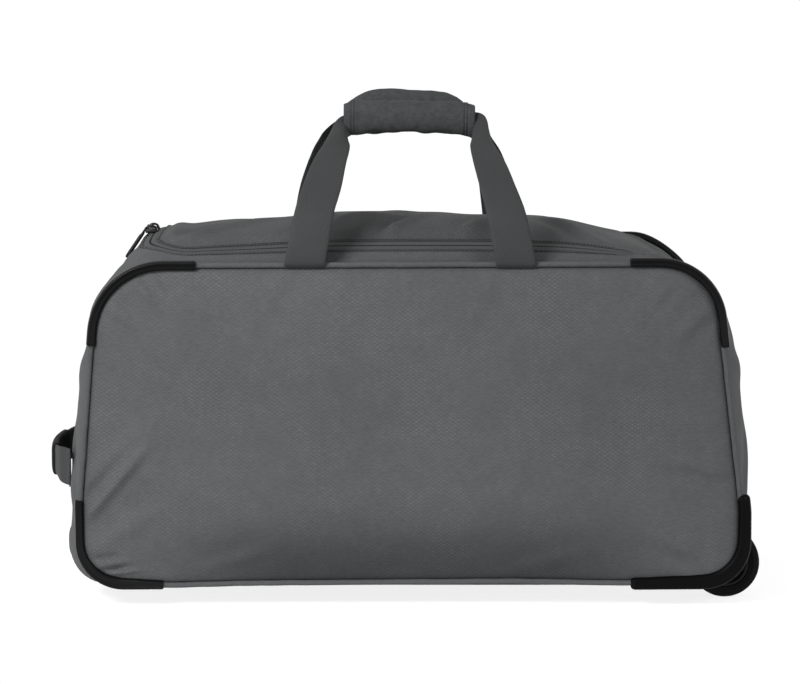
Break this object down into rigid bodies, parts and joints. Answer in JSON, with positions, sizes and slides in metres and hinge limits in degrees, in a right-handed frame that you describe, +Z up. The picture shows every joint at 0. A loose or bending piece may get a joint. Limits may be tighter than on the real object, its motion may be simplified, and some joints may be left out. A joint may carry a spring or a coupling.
{
  "type": "rolling duffel bag",
  "caption": "Soft grey rolling duffel bag with a U-zip lid, carry handles, black corner guards, wheels and a telescopic pull handle.",
  "frame": {"origin": "on the ground under the middle of the bag's box, at the underside of the wheels and rails", "axes": "+Z up, +X along the length towards the wheels, -Y towards the front panel"},
  "size_m": [0.718, 0.35, 0.501],
  "materials": {
    "fabric": "woven polyester, matte",
    "webbing": "ribbed webbing, matte",
    "moulded_black": "satin moulded",
    "zip": "satin coil and painted slider",
    "tyre": "matte",
    "tube": "satin anodised",
    "axle": "turned",
    "board": "plain sheet"
  },
  "bodies": {
    "bag": {"front_panel": "fabric", "rear_panel": "fabric", "handle_end_panel": "fabric", "base_panel": "fabric", "base_corner_panel": "fabric", "wheel_end_panel": "fabric", "top_panel": "fabric", "zip_track_body": "zip", "front_piping": "webbing", "rear_piping": "webbing", "base_board": "board", "base_rail_front": "moulded_black", "base_rail_rear": "moulded_black", "trolley_outer_tube_front": "tube", "trolley_outer_tube_rear": "tube", "trolley_end_bracket": "moulded_black", "trolley_recess_tray": "moulded_black", "side_handle_strap": "webbing", "side_handle_grip": "moulded_black", "corner_guard_top_handle_end_front": "moulded_black", "corner_guard_top_handle_end_rear": "moulded_black", "corner_guard_top_wheel_end_front": "moulded_black", "corner_guard_top_wheel_end_rear": "moulded_black", "corner_guard_base_handle_end_front": "moulded_black", "corner_guard_base_handle_end_rear": "moulded_black", "wheel_guard_front": "moulded_black", "wheel_housing_front": "moulded_black", "wheel_axle_front": "axle", "wheel_guard_rear": "moulded_black", "wheel_housing_rear": "moulded_black", "wheel_axle_rear": "axle"},
    "wheel_front": {"wheel_tyre_front": "tyre", "wheel_hub_front": "moulded_black"},
    "wheel_rear": {"wheel_tyre_rear": "tyre", "wheel_hub_rear": "moulded_black"},
    "trolley_stage_1": {"trolley_mid_tube_front": "tube", "trolley_mid_tube_rear": "tube"},
    "trolley_stage_2": {"trolley_inner_tube_front": "tube", "trolley_inner_tube_rear": "tube", "trolley_grip": "moulded_black"},
    "trolley_button": {"trolley_button": "moulded_black"},
    "lid": {"lid_panel": "fabric", "zip_track_lid": "zip"},
    "carry_handle_front": {"carry_strap_front": "webbing", "grip_sleeve_front": "webbing"},
    "carry_handle_rear": {"carry_strap_rear": "webbing", "grip_sleeve_rear": "webbing"},
    "zip_slider_front": {"zip_slider_front": "zip"},
    "zip_slider_rear": {"zip_slider_rear": "zip"},
    "zip_pull_front": {"zip_pull_front": "zip"},
    "zip_pull_rear": {"zip_pull_rear": "zip"}
  },
  "joints": [
    {"name": "wheel_spin_front", "type": "hinge", "parent": "bag", "child": "wheel_front", "pos_m": [0.324, -0.103, 0.035], "axis": [0, 1, 0], "continuous": true},
    {"name": "wheel_spin_rear", "type": "hinge", "parent": "bag", "child": "wheel_rear", "pos_m": [0.324, 0.103, 0.035], "axis": [0, 1, 0], "continuous": true},
    {"name": "trolley_slide_1", "type": "slide", "parent": "bag", "child": "trolley_stage_1", "axis": [-1, 0, 0], "range_m": [0, 0.24]},
    {"name": "trolley_slide_2", "type": "slide", "parent": "trolley_stage_1", "child": "trolley_stage_2", "axis": [-1, 0, 0], "range_m": [0, 0.24]},
    {"name": "button_press", "type": "slide", "parent": "trolley_stage_2", "child": "trolley_button", "axis": [1, 0, 0], "range_m": [0, 0.003], "stiffness_N_per_m": 600},
    {"name": "lid_open", "type": "hinge", "parent": "bag", "child": "lid", "pos_m": [0.24, 0, 0.3625], "axis": [0, 1, 0], "range_deg": [0, 100]},
    {"name": "carry_handle_front_swing", "type": "hinge", "parent": "bag", "child": "carry_handle_front", "pos_m": [0, -0.1628, 0.334], "axis": [1, 0, 0], "range_deg": [0, 152]},
    {"name": "carry_handle_rear_swing", "type": "hinge", "parent": "bag", "child": "carry_handle_rear", "pos_m": [0, 0.1628, 0.334], "axis": [-1, 0, 0], "range_deg": [0, 152]},
    {"name": "zip_slide_front", "type": "slide", "parent": "bag", "child": "zip_slider_front", "axis": [0, -1, 0], "range_m": [0, 0.05]},
    {"name": "zip_pull_swing_front", "type": "hinge", "parent": "zip_slider_front", "child": "zip_pull_front", "pos_m": [-0.2594, -0.014, 0.36026], "axis": [0, 1, 0], "range_deg": [0, 120]},
    {"name": "zip_slide_rear", "type": "slide", "parent": "bag", "child": "zip_slider_rear", "axis": [0, 1, 0], "range_m": [0, 0.05]},
    {"name": "zip_pull_swing_rear", "type": "hinge", "parent": "zip_slider_rear", "child": "zip_pull_rear", "pos_m": [-0.2594, 0.014, 0.36026], "axis": [0, 1, 0], "range_deg": [0, 120]}
  ],
  "couplings": [
    {"joint": "carry_handle_front_swing", "follows": "lid_open", "ratio": 1.5},
    {"joint": "carry_handle_rear_swing", "follows": "lid_open", "ratio": 1.5}
  ]
}
